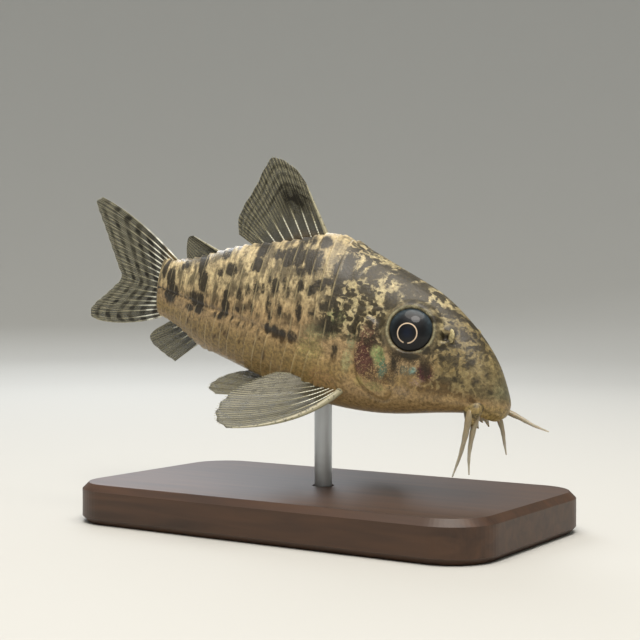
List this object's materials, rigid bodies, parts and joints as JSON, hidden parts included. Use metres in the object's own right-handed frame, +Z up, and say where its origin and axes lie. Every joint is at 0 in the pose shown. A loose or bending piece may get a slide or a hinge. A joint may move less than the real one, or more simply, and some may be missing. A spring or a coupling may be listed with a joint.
{
  "type": "peppered corydoras catfish model on a stand",
  "caption": "Life-size still model of a mottled armoured catfish in a swimming pose, held by one rod on a flat display base.",
  "frame": {"origin": "middle of the underside of the stand's base", "axes": "+X towards the fish's head, +Y to the fish's left, +Z up"},
  "size_m": [0.0728, 0.0338, 0.0462],
  "materials": {
    "skin": "wet satin skin over armour plates, cream with dark brown mottling",
    "eye": "polished dark glass with a thin pale ring",
    "barbel_skin": "moist, slightly translucent",
    "fin_membrane": "thin translucent membrane with paler rays",
    "stand_wood": "dark walnut, oiled",
    "stand_steel": "drawn rod, fine grain"
  },
  "bodies": {
    "root": {"head": "skin", "trunk": "skin", "tail": "skin", "gill_cover_right": "skin", "gill_cover_left": "skin", "eye_right": "eye", "eye_left": "eye", "lower_lip": "barbel_skin", "outer_barbel_right": "barbel_skin", "inner_barbel_right": "barbel_skin", "outer_barbel_left": "barbel_skin", "inner_barbel_left": "barbel_skin", "dorsal_fin": "fin_membrane", "adipose_fin": "fin_membrane", "caudal_fin": "fin_membrane", "anal_fin": "fin_membrane", "pectoral_fin_right": "fin_membrane", "pectoral_fin_left": "fin_membrane", "pelvic_fin_right": "fin_membrane", "pelvic_fin_left": "fin_membrane", "stand_base": "stand_wood", "stand_rod": "stand_steel"}
  },
  "joints": []
}
